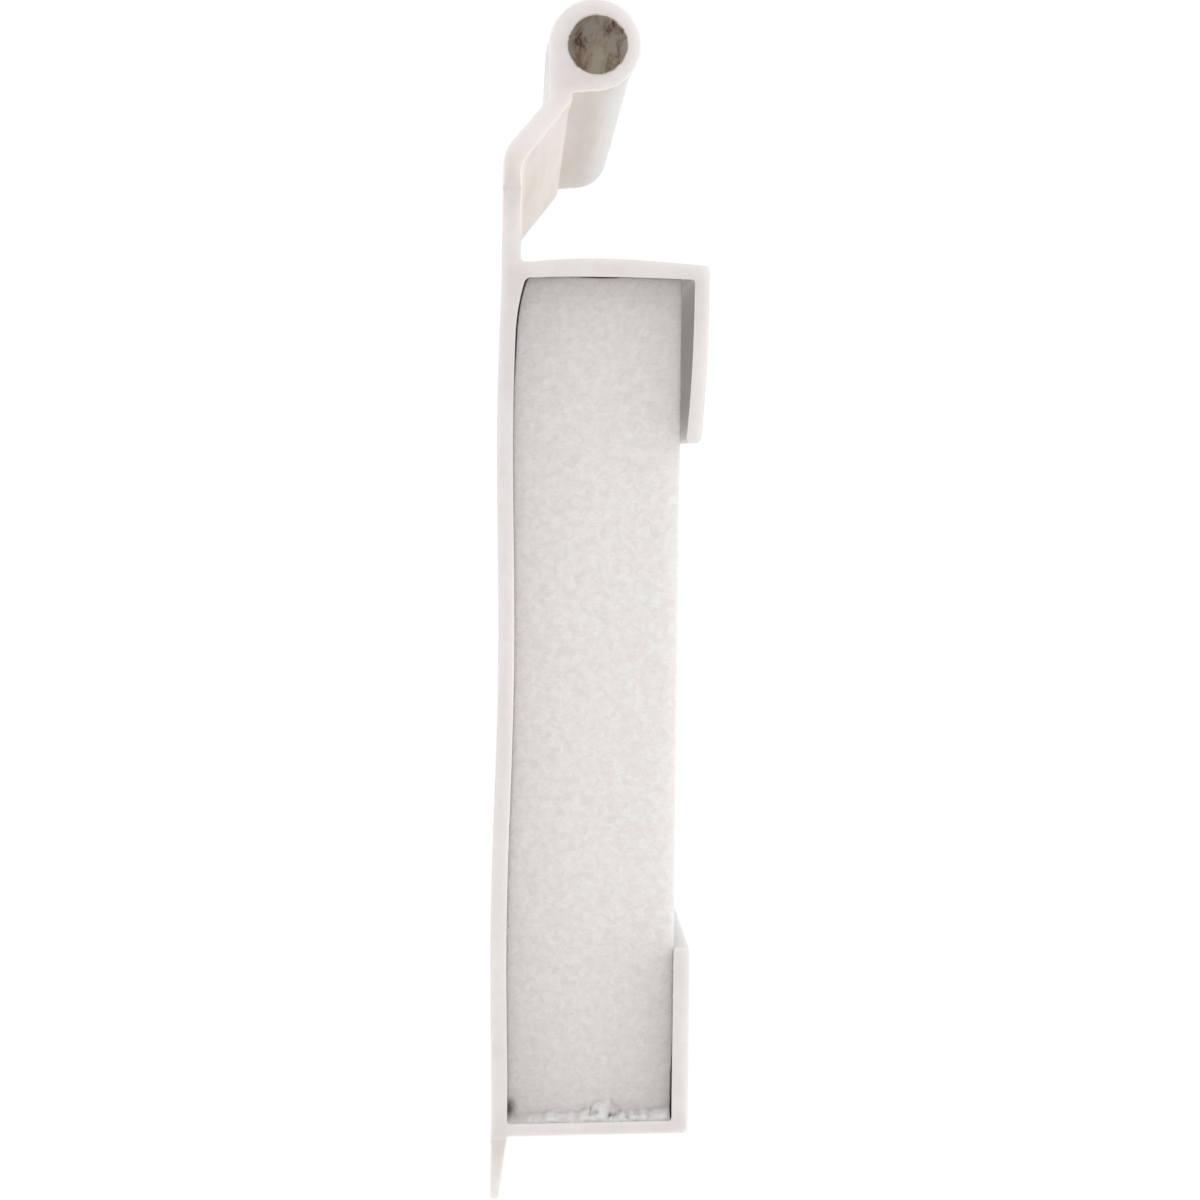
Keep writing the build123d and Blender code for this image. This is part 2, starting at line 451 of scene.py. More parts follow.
boreLook = {
    "colour": "#E2CDBC",       # white vinyl under a thin film of dust
    "mouth": "#DDD2C9",        # more of it near the cut
    "smudge": "#BBAA9C",
    "speck": "#75695F",
    "smudgeSize": 0.55,        # mm across, drawn out along the bore
    "smudgeFrom": 0.4,         # of the smudge noise
    "smudgeTo": 0.6,
    "speckSize": 0.17,
    "speckFrom": 1.06,         # of both noises together
    "speckTo": 1.24,
    "drawn": 0.006,            # across over along
    "clean": "#F6E0CC",        # painted light: a paler streak along its roof, deep inside
    "paintedStreakX": 5.3,             # mm from the wall's outer face
    "paintedStreakEdge": 0.55,         # mm to each side where it has faded out
    "paintedStreakCore": 0.2,          # and where it is whole
    "paintedStreakFrom": 90.0,         # mm in
    "cleanTo": 220.0,
    "mouthReach": 300.0,       # mm that the darker film thins out over
    "bleedDepth": 4.5,         # mm: daylight comes through the soft wall
    "bleedTint": (1.0, 0.98, 0.95),
    "bump": 0.4,
    "relief": 0.03,            # mm, the dust
    "roughness": 0.85,
    "gloss": 0.1,
}


def dustyBore(name, look):
    # the inside of the bulb, never wiped: matte and warm grey in the light that comes through
    # the soft wall, with smudges drawn out along it, clusters of specks and one paler streak of painted
    # light
    material, tree = blankMaterial(name)
    coords = addNode(tree, "TexCoord")
    drawn = addNode(tree, "Mapping", {"Scale": (1, look["drawn"], 1)}, {"Vector": (coords, "Object")})
    smudges, specks = (
        addNode(tree, "TexNoise", {
            "Scale": 1 / (look[size] * mm), "Detail": 3.0, "Roughness": roughness,
        }, {"Vector": (drawn, "Vector")})
        for size, roughness in (("smudgeSize", 0.6), ("speckSize", 0.65)))
    place = addNode(tree, "SeparateXYZ", {}, {"Vector": (coords, "Object")})
    fromMiddle = addNode(tree, "Math", {}, {0: (place, "Y")}, operation="ABSOLUTE")
    inward = addNode(tree, "MapRange", {
        "From Min": farY * mm, "From Max": (farY - look["mouthReach"]) * mm,
    }, {"Value": (fromMiddle, "Value")})
    film = addNode(tree, "ValToRGB", {}, {"Fac": (inward, "Result")})
    setStops(film, (0, look["mouth"]), (1, look["colour"]))
    patchy = addNode(tree, "MapRange", {
        "From Min": look["smudgeFrom"], "From Max": look["smudgeTo"],
    }, {"Value": (smudges, "Fac")})
    filmed = addNode(tree, "Mix", {7: linear(look["smudge"])},
                     {0: (patchy, "Result"), 6: (film, "Color")}, data_type="RGBA")
    # a speck only shows where a smudge already is: the two noises are added before the cut
    joined = addNode(tree, "Math", {}, {0: (smudges, "Fac"), 1: (specks, "Fac")}, operation="ADD")
    dirt = addNode(tree, "MapRange", {
        "From Min": look["speckFrom"], "From Max": look["speckTo"],
    }, {"Value": (joined, "Value")})
    dirty = addNode(tree, "Mix", {7: linear(look["speck"])}, {0: (dirt, "Result"), 6: (filmed, 2)},
                    data_type="RGBA")
    # the streak, painted light: a narrow paler band in x that comes in with the depth
    aside = farFrom(tree, place, "X", look["paintedStreakX"])
    band = addNode(tree, "MapRange", {
        "From Min": look["paintedStreakEdge"] * mm, "From Max": look["paintedStreakCore"] * mm,
    }, {"Value": (aside, "Value")})
    deep = addNode(tree, "MapRange", {
        "From Min": (farY - look["paintedStreakFrom"]) * mm, "From Max": (farY - look["cleanTo"]) * mm,
    }, {"Value": (fromMiddle, "Value")})
    streak = addNode(tree, "Math", {}, {0: (band, "Result"), 1: (deep, "Result")}, operation="MULTIPLY")
    mixed = addNode(tree, "Mix", {7: linear(look["clean"])}, {0: (streak, "Value"), 6: (dirty, 2)},
                    data_type="RGBA")
    bump = addNode(tree, "Bump", {
        "Strength": look["bump"], "Distance": look["relief"] * mm,
    }, {"Height": (joined, "Value")})
    shader = addNode(tree, "BsdfPrincipled", {
        "Roughness": look["roughness"],
        "IOR": rigidLook["ior"],
        "Specular IOR Level": look["gloss"],
        "Subsurface Weight": 1.0,
        "Subsurface Radius": look["bleedTint"],
        "Subsurface Scale": look["bleedDepth"] * mm,
    }, {"Base Color": (mixed, 2), "Normal": (bump, "Normal")})
    addNode(tree, "OutputMaterial", {}, {"Surface": (shader, "BSDF")})
    return material


boreVinyl = dustyBore("boreVinyl", boreLook)

foamLook = {
    "strut": "#FFFEFD",        # painted highlight: cell edges catching the light
    "pit": "#EDE9E6",          # painted shade in the open cells between them
    "pitAt": 0.35,             # of strands and clumps together
    "strutAt": 1.0,
    "strandShare": 0.5,        # of the strands against the clumps
    "cell": 0.45,              # mm across a clump of cells
    "fuzz": 0.13,              # mm, the broken struts on a sawn face
    "combed": (0.5, 1.0, 1.5),  # the saw has laid them level
    "bump": 0.6,
    "relief": 0.12,            # mm
    "bleedDepth": 0.7,         # mm that light wanders between the cells
    "bleedShare": 0.9,
    "roughness": 0.95,
    "ior": 1.4,
    "gloss": 0.2,
    "sheen": 0.15,
    "sheenRoughness": 0.6,
}


def foam(name, look):
    # open-cell polyether foam, sawn: matte and woolly, with short curled light strands over
    # barely darker pits (painted highlight on the strands, painted shade in the pits), all soft-edged
    # because light wanders inside it
    material, tree = blankMaterial(name)
    coords = addNode(tree, "TexCoord")
    clumps = addNode(tree, "TexNoise", {
        "Scale": 1 / (look["cell"] * mm), "Detail": 3.0, "Roughness": 0.6, "Distortion": 0.8,
    }, {"Vector": (coords, "Object")})
    combed = addNode(tree, "Mapping", {"Scale": look["combed"]}, {"Vector": (coords, "Object")})
    strands = addNode(tree, "TexNoise", {
        "Scale": 1 / (look["fuzz"] * 2 * mm), "Detail": 2.0, "Roughness": 0.5, "Distortion": 1.6,
    }, {"Vector": (combed, "Vector")}, noise_type="RIDGED_MULTIFRACTAL")
    strandPart = addNode(tree, "Math", {1: look["strandShare"]}, {0: (strands, "Fac")},
                         operation="MULTIPLY")
    mixed = addNode(tree, "Math", {}, {0: (strandPart, "Value"), 1: (clumps, "Fac")}, operation="ADD")
    ramp = addNode(tree, "ValToRGB", {}, {"Fac": (mixed, "Value")})
    setStops(ramp, (look["pitAt"], look["pit"]), (look["strutAt"], look["strut"]))
    bump = addNode(tree, "Bump", {
        "Strength": look["bump"], "Distance": look["relief"] * mm,
    }, {"Height": (mixed, "Value")})
    shader = addNode(tree, "BsdfPrincipled", {
        "Roughness": look["roughness"],
        "IOR": look["ior"],
        "Specular IOR Level": look["gloss"],
        "Sheen Weight": look["sheen"],
        "Sheen Roughness": look["sheenRoughness"],
        "Subsurface Weight": look["bleedShare"],
        "Subsurface Radius": (1.0, 1.0, 1.0),
        "Subsurface Scale": look["bleedDepth"] * mm,
    }, {"Base Color": (ramp, "Color"), "Normal": (bump, "Normal")})
    addNode(tree, "OutputMaterial", {}, {"Surface": (shader, "BSDF")})
    return material


foamSkin = foam("openCellFoam", foamLook)
print("materials made")

settled = {
    "wallBow": 0.11,           # mm, the tall wall waves in and out of flat
    "wallShift": -0.035,
    "bowLength": 27.5,
    "bowPeak": 1.6,            # height of the inward crest
    "bowHold": 8,              # power by which the flanges hold the wall flat
    "bowOver": 0.3,            # mm above the flange's underside where it is quite flat
    "bowFrom": 1.2,            # mm from the wall's outer face, and the fade beyond it
    "bowFade": 1.8,
    "topCrown": 0.33,          # the upper flange arches on top
    "underCrown": 0.12,        # and less underneath
    "underDrop": 0.04,
    "cornerDrop": 0.15,        # its outer corner droops
    "archFrom": 0.9,           # where the arch starts
    "archFade": 1.1,
    "archLean": 0.8,           # below 1, its crest lies nearer the wall
    "upperFrom": 10.0,         # height above which the upper flange's shape holds
    "upperFade": 2.0,
    "webThick": 0.43,          # the wall swells into the upper flange
    "webReach": 3.0,           # over this much of its height
    "webFrom": 0.3,            # on its inner face only
    "webFade": 0.4,
    "webOver": 0.02,           # mm into the flange that it goes on
    "webOverFade": 0.2,
    "lipCurl": 0.36,           # the hook lip curls in towards its free edge
    "curlPower": 2.3,
    "lipFrom": 9.0,            # and it starts this far from the wall
    "lipFade": 0.5,
}


def wallOffset(z):
    # a cosine wave down the wall, faded out at the two flanges where the section is stiff
    s = settled
    span = topLow[2] + s["bowOver"]
    hold = np.clip(1 - np.abs(z / span) ** s["bowHold"], 0, 1)
    wave = np.cos(2 * math.pi * (z - s["bowPeak"]) / s["bowLength"])
    return hold * (s["wallShift"] + s["wallBow"] * wave)


def settleChannel(x, y, z):
    # the wall's wave fades out by 3 mm from its outer face; the upper flange arches as a half
    # sine over its depth; the hook lip curls by a power of the distance below the flange. Below
    # the flange the wall's inner face swells by the square of the height.
    s = settled
    nearWall = 1 - ease((x - s["bowFrom"]) / s["bowFade"])
    moved = x + wallOffset(z) * nearWall
    climb = np.clip(1 - (topLow[2] - z) / s["webReach"], 0, 1)
    underFlange = 1 - ease((z - topLow[2] - s["webOver"]) / s["webOverFade"])
    inside = ease((x - s["webFrom"]) / s["webFade"]) * underFlange
    moved = moved + s["webThick"] * climb ** 2 * inside * nearWall
    t = np.clip((x - s["archFrom"]) / (topHigh[0] - s["archFrom"]), 0, 1)
    arch = np.sin(math.pi * t ** s["archLean"])
    onTop = np.clip((z - topLow[2]) / (topHigh[2] - topLow[2]), 0, 1)
    lift = (1 - onTop) * (s["underCrown"] * arch - s["underDrop"])
    lift = lift + onTop * (s["topCrown"] * arch - s["cornerDrop"])
    flange = ease((x - s["archFrom"]) / s["archFade"])
    flange = flange * ease((z - s["upperFrom"]) / s["upperFade"])
    down = np.clip((topLow[2] - z) / (topLow[2] - hookLow[2]), 0, 1)
    curl = s["lipCurl"] * down ** s["curlPower"] * ease((x - s["lipFrom"]) / s["lipFade"])
    return moved - curl * (z > s["upperFrom"]), y, z + lift * flange


channelShape = {
    "spacing": 0.35,           # mm between outline points
    "step": 12.0,              # mm between stations along the length
    "cutEdge": 0.05,           # mm, the sawn edge is barely broken
    "rootFillet": 0.25,
    "outerCorner": 0.2,
    "lowerCorner": 0.28,
    "innerCorner": 0.15,
    "finCorner": 0.12,         # where the fin's inner face meets the lower flange
    "hookThick": 0.76,
    "hookTip": 0.2,
    "lipTip": 0.17,
}
baseThick = 0.66                             # the lower flange
baseRise = math.tan(math.radians(2.0))       # it climbs towards its lip


def baseOuter(x):
    # height of the lower flange's outer face: a straight climb from the wall to its lip
    return baseLow[2] + (x - wallThick) * baseRise


def channelOutline():
    s = channelShape
    lipInner = lipLow[0]
    hookInner = topHigh[0] - s["hookThick"]
    corners = [
        (0, finSeam, 0),
        (wallThick, finSeam, 0),
        (wallThick, baseOuter(wallThick), s["finCorner"]),
        (lipHigh[0], baseOuter(lipHigh[0]), s["lowerCorner"]),
        (lipHigh[0], lipHigh[2], s["lipTip"]),
        (lipInner, lipHigh[2], s["lipTip"]),
        (lipInner, baseOuter(lipInner) + baseThick, s["innerCorner"]),
        (wallThick, baseOuter(wallThick) + baseThick, s["innerCorner"]),
        (wallThick, topLow[2], s["rootFillet"]),
        (hookInner, topLow[2], s["innerCorner"]),
        (hookInner, hookLow[2], s["hookTip"]),
        (topHigh[0], hookLow[2], s["hookTip"]),
        (topHigh[0], topHigh[2], s["outerCorner"]),
        (shoulderX, topHigh[2], s["rootFillet"]),
        (shoulderX, legSeam, 0),
        (0, legSeam, 0),
    ]
    return turnedLeft(roundedOutline(corners, s["spacing"]))


channel = extruded("vinylChannel", [channelOutline()],
                   stationList(nearY, farY, channelShape),
                   settleChannel, [rigidVinyl, rigidCut], [0], 1, [legSeam, finSeam])
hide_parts("face_wall", "upper_flange", "upper_lip", "lower_flange", "lower_lip")
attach(channel, "channel")
print("channel made:", len(channel.data.polygons), "faces")


bulbShape = {
    "spacing": 0.16,
    "step": 9.0,
    "cutEdge": 0.07,
    "boreRadius": 1.55,
    "boreShiftX": 0.11,
    "boreShiftZ": 0.03,
    "oval": 0.02,              # of the radius that it is out of round, and its turn
    "ovalTurn": 2.2,
    "threeLobed": 0.012,
    "ringFrom": -94,           # degrees, the ring's lowest point
    "outerBend": 2.3,          # radius where the wall turns into the leg, outside
    "innerBend": 1.2,
    "outerKneeZ": 28.83,       # heights where the straight faces would meet
    "innerKneeZ": 28.20,
    "footZ": 31.65,
    "footBend": 0.25,
    "crotchX": 3.60,           # where the leg's inner face stops, in a nick under the ring
    "crotchZ": 31.55,
    "crotchBend": 0.05,
    "nickZ": 31.98,
    "nickDeep": 0.03,
    "nickBend": 0.1,
    "wander": 0.2,             # mm that the soft bulb strays sideways along the length
    "wanderRise": 0.12,        # of the length in which it gets there
    "ringOver": 0.6,           # mm beyond the ring where its shape stops
    "ringFade": 0.5,
    "flare": 0.05,             # mm that the saw has spread the cut edge of the soft ring
    "flareReach": 0.9,
    "flareFrom": 0.1,          # mm outside the bore where it starts
    "flareFade": 0.6,
    "boreLumps": 0.06,         # mm high
    "lumpSize": 0.8,           # mm across
    "lumpDrawn": 0.035,        # across over along
    "lumpSeed": 5,
    "skinFrom": 0.12,          # mm outside the bore where they fade
    "skinFade": 0.1,
}


def bulbOutline():
    # round the ring from its lowest point, anticlockwise over the top, to its left side, which
    # drops straight to the leg's outer face; back up the leg's inner face to a nick under the ring
    s = bulbShape
    turn = np.linspace(math.radians(s["ringFrom"]), math.pi, 96)
    ring = np.stack([bulbX + bulbRadius * np.cos(turn), bulbZ + bulbRadius * np.sin(turn)], 1)
    lower = roundedOutline([
        (ring[-1][0], ring[-1][1], 0),
        (bulbX - bulbRadius, s["footZ"], s["footBend"]),
        (0, s["outerKneeZ"], s["outerBend"]),
        (0, legSeam, 0),
        (shoulderX, legSeam, 0),
        (shoulderX, s["innerKneeZ"], s["innerBend"]),
        (s["crotchX"], s["crotchZ"], s["crotchBend"]),
        (s["crotchX"] - s["nickDeep"], s["nickZ"], s["nickBend"]),
        (ring[0][0], ring[0][1], 0),
    ], s["spacing"])
    last = np.argmin(np.linalg.norm(lower - ring[0], axis=1))
    return turnedLeft(np.concatenate([ring, lower[1:last]]))


def boreOutline():
    # a circle with a cosine of twice the angle, and one of three times it, added to its radius
    s = bulbShape
    turn = np.linspace(0, 2 * math.pi, 72, endpoint=False)
    lobes = 1 + s["oval"] * np.cos(2 * turn + s["ovalTurn"]) + s["threeLobed"] * np.cos(3 * turn)
    r = s["boreRadius"] * lobes
    cx, cz = bulbX + s["boreShiftX"], bulbZ + s["boreShiftZ"]
    return turnedLeft(np.stack([cx + r * np.cos(turn), cz + r * np.sin(turn)], 1))[::-1]


def settleBulb(x, y, z):
    # the bulb strays sideways just behind the near cut, then eases back: a fast rise and a slow
    # fall along the length, none at the wall and all of it at the bulb. The near cut flares out
    # from the bulb's middle, less with each millimetre in. The bore is a little lumpy: its
    # radius wanders with soft noise drawn out along the length.
    s = bulbShape
    along = (y - nearY) / (farY - nearY)
    stray = ease(along / s["wanderRise"]) * (1 - along) * s["wander"]
    free = ease((z - legSeam) / (bulbZ - legSeam))
    fromX, fromZ = x - bulbX, z - bulbZ
    away = np.hypot(fromX, fromZ)
    onRing = ease((bulbRadius + s["ringOver"] - away) / s["ringFade"])
    outward = ease((away - s["boreRadius"] - s["flareFrom"]) / s["flareFade"])
    flare = s["flare"] * np.exp(-(y - nearY) / s["flareReach"]) * outward
    inBore = 1 - ease((away - s["boreRadius"] - s["skinFrom"]) / s["skinFade"])
    drawn = np.stack([x, y * s["lumpDrawn"], z], 1)
    lumps = softNoise(drawn, s["lumpSize"], s["lumpSeed"]) * s["boreLumps"] * inBore
    grow = 1 + onRing * (flare + lumps) / np.maximum(away, 0.1)
    return bulbX + fromX * grow - stray * free, y, bulbZ + fromZ * grow


bulb = extruded("bulbSeal", [bulbOutline(), boreOutline()],
                stationList(nearY, farY, bulbShape),
                settleBulb, [softVinyl, softCut, boreVinyl], [0, 2], 1, [legSeam])
hinge = hingeAt["bulb_flex"]
legWay = np.array([bulbX, 0, bulbZ]) - hinge
legWay /= np.linalg.norm(legWay)
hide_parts("bulb_leg", "bulb_tube")
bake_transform(bulb)
print("bulb made:", len(bulb.data.polygons), "faces")


finShape = {"spacing": 0.1, "step": 10.0, "cutEdge": 0.05, "tipThick": 0.44, "tipRadius": 0.18}


def finOutline():
    # straight outside in line with the wall, tapering inside to a rounded tip
    s = finShape
    return turnedLeft(roundedOutline([
        (0, finSeam, 0),
        (0, finLow[2], s["tipRadius"]),
        (s["tipThick"], finLow[2], s["tipRadius"]),
        (wallThick, finSeam, 0),
    ], s["spacing"]))


def asDrawn(x, y, z):
    return x, y, z


fin = extruded("sweepFin", [finOutline()],
               stationList(nearY, farY, finShape),
               asDrawn, [softVinyl, finCut], [0], 1, [finSeam])
hinge = hingeAt["fin_flex"]
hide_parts("sweep_fin")
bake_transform(fin)
print("fin made:", len(fin.data.polygons), "faces")


coreShape = {
    "grid": 0.14,              # mm between points on the sawn ends
    "step": 16.0,              # mm between stations at mid-length
    "corner": 0.06,            # mm, the sawn long corners
    "softCorner": 0.45,        # but the two by the wall are pressed round
    "softSquash": 0.4,         # and narrower than they are tall
    "cutEdge": 0.08,
    "wallGap": -0.03,          # mm between foam and vinyl: the squeezed foam swells against it
    "wallGapTop": 0.13,        # but stands off the wall high up
    "lipGap": 0.0,
    "lipGapLow": 0.10,         # and beside the foot of the lower lip
    "flangeGap": -0.03,
    "flangeGapMiddle": 0.11,   # and under the crown of the upper flange
    "soleGap": -0.02,
    "closeReach": 3.0,         # mm in from the ends, where the gaps close
    "closeShare": 0.92,        # and by how much
    "highFrom": 12.0,          # height above which it stands off the wall
    "highFade": 9.0,
    "footFrom": -17.5,         # and below which off the lip
    "footFade": 3.0,
    "midX": 5.0,
    "crownX": 5.2,
    "crownWide": 1.3,
    "cell": 0.5,               # mm, torn cells on the sawn ends
    "cellRim": 0.8,            # of a cell, from its rim to its full depth
    "wobble": 0.25,            # mm that their rims waver
    "wobbleSize": 0.9,
    "pitDepth": 0.10,
    "pitShare": 0.5,           # how cells, lumps and the cut itself add up, less what is raised
    "lumpShare": 0.6,
    "endShare": 0.3,
    "raised": 0.1,
    "broadLump": 2.6,          # mm across
    "fineLump": 0.35,
    "fineShare": 0.6,
    "sideShare": 0.3,          # of all that on the long sides
    "rawReach": 6.0,           # mm in from the ends, where it has faded
    "rawFade": 5.0,
    "burrHigh": 0.5,           # mm of the sawn end's foot that is dragged out along the flange
    "burrReach": 4.0,          # mm that it is
    "burrEdge": 0.18,
    "burrFray": 0.06,
    "reachFray": 0.04,
    "burrSag": 0.22,           # mm that it hangs down
    "sagHigh": 0.2,
    "rag": 0.2,                # how ragged its top is
    "ragSize": 0.3,
    "wallShare": 0.45,         # of its height beside the wall
    "wallReach": 1.8,
    "strandSize": 0.22,
    "cutReach": 0.4,           # mm in from the ends, where it ends
    "cutFade": 0.3,
    "tuftX": 5.9,              # a tuft of torn strands on it
    "tuftZ": 0.5,
    "tuftWide": 0.65,
    "tuftHigh": 0.45,
    "tuftSpread": 1.4,
    "tuftEdge": 1.2,
    "tuftFray": 0.35,
    "tuftReach": 0.9,          # of the burr's
    "hollow": 1.3,             # mm that the corner above it is torn in
    "hollowZ": 0.75,
    "hollowWide": 0.28,
    "hollowHigh": 0.4,
    "seed": 11,
}


def fitCore(u, v, y):
    # u and v run from -1 to 1 across and up the foam. Its faces follow the vinyl round it, less a
    # gap that is widest at the sawn ends: the waving wall, the lower lip's inner face carried
    # straight up, the arched upper flange and the climbing lower one.
    s = coreShape
    depthIn = np.minimum(y - coreLow[1], coreHigh[1] - y)
    opened = 1 - s["closeShare"] * ease(depthIn / s["closeReach"])
    sole = baseOuter(s["midX"])
    z0 = sole + baseThick + (v + 1) / 2 * (topLow[2] - sole - baseThick)
    high = ease((z0 - s["highFrom"]) / s["highFade"])
    low = ease((s["footFrom"] - z0) / s["footFade"])
    wall = settleChannel(np.full_like(z0, wallThick), y, np.minimum(z0, topLow[2]))[0]
    left = wall + s["wallGap"] + (s["wallGapTop"] * high) * opened
    right = lipLow[0] - s["lipGap"] - s["lipGapLow"] * low * opened
    x = left + (u + 1) / 2 * (right - left)
    middle = np.exp(-((x - s["crownX"]) / s["crownWide"]) ** 2)
    top = settleChannel(x, y, np.full_like(x, topLow[2]))[2]
    top = top - s["flangeGap"] - s["flangeGapMiddle"] * middle * opened
    bottom = baseOuter(x) + baseThick + s["soleGap"]
    return x, y, bottom + (v + 1) / 2 * (top - bottom)


def pressed(u, v, halfX, halfZ):
    # a point q, p into a corner's box goes to q, p times max(q, p) / hypot(q, p), both counted
    # in the box's own sides, which turns the box into a quarter of an ellipse
    s = coreShape
    soft = u < 0
    rx = np.where(soft, s["softCorner"] * s["softSquash"], s["corner"]) / halfX
    rz = np.where(soft, s["softCorner"], s["corner"]) / halfZ
    q = np.clip(np.abs(u) - (1 - rx), 0, None) / rx
    p = np.clip(np.abs(v) - (1 - rz), 0, None) / rz
    shrink = np.maximum(q, p) / np.maximum(np.hypot(q, p), 1e-9)
    pu = np.sign(u) * (np.minimum(np.abs(u), 1 - rx) + q * shrink * rx)
    pv = np.sign(v) * (np.minimum(np.abs(v), 1 - rz) + p * shrink * rz)
    return pu, pv


def coreMesh():
    # a box of points: a grid on each sawn end and a tube of stations between their rims
    s = coreShape
    halfX = (coreHigh[0] - coreLow[0]) / 2
    halfZ = (coreHigh[2] - coreLow[2]) / 2
    nx, nz = int(2 * halfX / s["grid"]), int(2 * halfZ / s["grid"])
    gu, gv = np.linspace(-1, 1, nx + 1), np.linspace(-1, 1, nz + 1)
    stations = stationList(coreLow[1], coreHigh[1], s)
    rim = [(i, 0) for i in range(nx)] + [(nx, k) for k in range(nz)]
    rim += [(nx - i, nz) for i in range(nx)] + [(0, nz - k) for k in range(nz)]
    rim = np.array(rim)
    n, rows = len(rim), len(stations)
    us, vs = [np.tile(gu[rim[:, 0]], rows)], [np.tile(gv[rim[:, 1]], rows)]
    ys, insets = [np.repeat(stations[:, 0], n)], [np.repeat(stations[:, 1], n)]
    quads = [stationQuads(n, rows)]
    ii, kk = np.meshgrid(np.arange(1, nx), np.arange(1, nz), indexing="ij")
    total = n * rows
    for row, station in ((0, stations[0]), (rows - 1, stations[-1])):
        index = np.full((nx + 1, nz + 1), -1)
        index[rim[:, 0], rim[:, 1]] = row * n + np.arange(n)
        index[1:nx, 1:nz] = total + np.arange(ii.size).reshape(nx - 1, nz - 1)
        us.append(gu[ii.ravel()])
        vs.append(gv[kk.ravel()])
        ys.append(np.full(ii.size, station[0]))
        insets.append(np.full(ii.size, station[1]))
        total += ii.size
        cap = [index[:-1, :-1], index[1:, :-1], index[1:, 1:], index[:-1, 1:]]
        cap = np.stack(cap, -1).reshape(-1, 4)
        quads.append(cap if row == 0 else cap[:, ::-1])
    inset = np.concatenate(insets)
    u, v = pressed(np.concatenate(us), np.concatenate(vs), halfX, halfZ)
    x, y, z = fitCore(u * (1 - inset / halfX), v * (1 - inset / halfZ), np.concatenate(ys))
    return np.stack([x, y, z], 1), np.concatenate(quads)


coreVerts, coreQuads = coreMesh()
core = meshObject("foamCore", coreVerts, coreQuads, np.zeros((0, 3), int),
                  np.zeros(len(coreQuads), int), np.zeros(0, int), [foamSkin])


def roughenCore():
    # every point goes in along its normal: deepest in the middle of a cell, with softer lumps
    # over it; the long sides, which lie against vinyl, keep less of it, and none at mid-length
    s = coreShape
    seed, cutY = s["seed"], coreHigh[1]
    x, y, z = coreVerts.T
    mesh = core.data
    normals = np.zeros(len(mesh.vertices) * 3, np.float32)
    mesh.vertices.foreach_get("normal", normals)
    normals = normals.reshape(-1, 3).astype(float)
    wobble = np.stack([softNoise(coreVerts, s["wobbleSize"], seed + k) for k in range(3)], 1)
    nearest, second = cellNoise(coreVerts + wobble * s["wobble"], s["cell"], seed)
    pit = ease((second - nearest) / s["cellRim"])
    lumps = softNoise(coreVerts, s["broadLump"], seed + 7) * (1 - s["fineShare"])
    lumps = lumps + softNoise(coreVerts, s["fineLump"], seed + 9) * s["fineShare"]
    endness = ease((np.abs(y) - (cutY - s["rawReach"])) / s["rawFade"])
    onEnd = ease(np.abs(normals[:, 1]) * 1.6 - 0.6)      # 1 on the sawn ends, 0 on the sides
    rough = pit * s["pitShare"] + lumps * s["lumpShare"] + s["endShare"] * onEnd - s["raised"]
    depth = s["pitDepth"] * rough * (s["sideShare"] + (1 - s["sideShare"]) * onEnd) * endness
    moved = coreVerts - normals * depth[:, None]
    # the foot of each sawn end is dragged out into a burr with a ragged top, nearly to the
    # vinyl's cut, and the near one has a round tuft of torn strands on it
    height = z - (baseOuter(x) + baseThick)
    ragged = softNoise(coreVerts * (1, 0, 0), s["ragSize"], seed + 20) * s["rag"] + 1
    climb = ease((x - coreLow[0]) / s["wallReach"])
    ragged = ragged * (s["wallShare"] + (1 - s["wallShare"]) * climb)
    strands = softNoise(coreVerts * (1, 0, 1), s["strandSize"], seed + 30)
    atEnd = ease((np.abs(y) - (cutY - s["cutReach"])) / s["cutFade"])
    side = np.sign(y)
    burr = ease((s["burrHigh"] * ragged - height + strands * s["burrFray"]) / s["burrEdge"])
    fromTuft = np.hypot((x - s["tuftX"]) / s["tuftWide"], (height - s["tuftZ"]) / s["tuftHigh"])
    tuft = ease((s["tuftSpread"] - fromTuft + strands * s["tuftFray"]) / s["tuftEdge"])
    drawnOut = np.maximum(burr, tuft * (side < 0) * s["tuftReach"]) * atEnd
    moved[:, 1] += side * s["burrReach"] * drawnOut * (1 + strands * s["reachFray"])
    moved[:, 2] -= s["burrSag"] * drawnOut * np.exp(-height / s["sagHigh"])
    # the torn strands leave a hollow in the corner above them, beside the wall: a bell shape
    across, up = (x - wallThick) / s["hollowWide"], (height - s["hollowZ"]) / s["hollowHigh"]
    moved[:, 1] -= side * atEnd * np.exp(-across ** 2 - up ** 2) * s["hollow"]
    mesh.vertices.foreach_set("co", (moved * mm).astype(np.float32).ravel())
    mesh.update()


roughenCore()
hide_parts("foam_core")
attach(core, "core")
print("core made:", len(core.data.polygons), "faces")

studio = {
    "floorDrop": 60.0,         # mm below the fin
    "floorSize": 5200.0,
    "floorColour": "#F4F3F2",
    "floorGlow": 0.10,         # a lit table top fills the undersides
    "tent": 0.84,              # how white the tent is
    "patch": 1.02,             # and its cloth straight behind the piece
    "patchInner": 6.0,         # degrees
    "patchOuter": 14.0,
    "frontPower": 2.0,         # W
    "frontSize": 0.7,          # m
    "frontFrom": (0.25, -1.6, 0.45),       # m from the near cut
    "sidePower": 3.2,
    "sideSize": 1.0,
    "sideFrom": (1.2, 0.3, 0.55),
    "cameraAway": 2470.0,      # mm before the near cut
    "cameraX": 0.81,           # mm, the camera stands almost in line with the wall
    "cameraZ": 12.96,
    "aimX": 5.39,
    "aimZ": 5.28,
    "roll": 0.734,             # degrees, the piece is held not quite plumb
    "frameWidth": 63.16,       # mm seen across the near cut
    "sensor": 36.0,            # mm
}


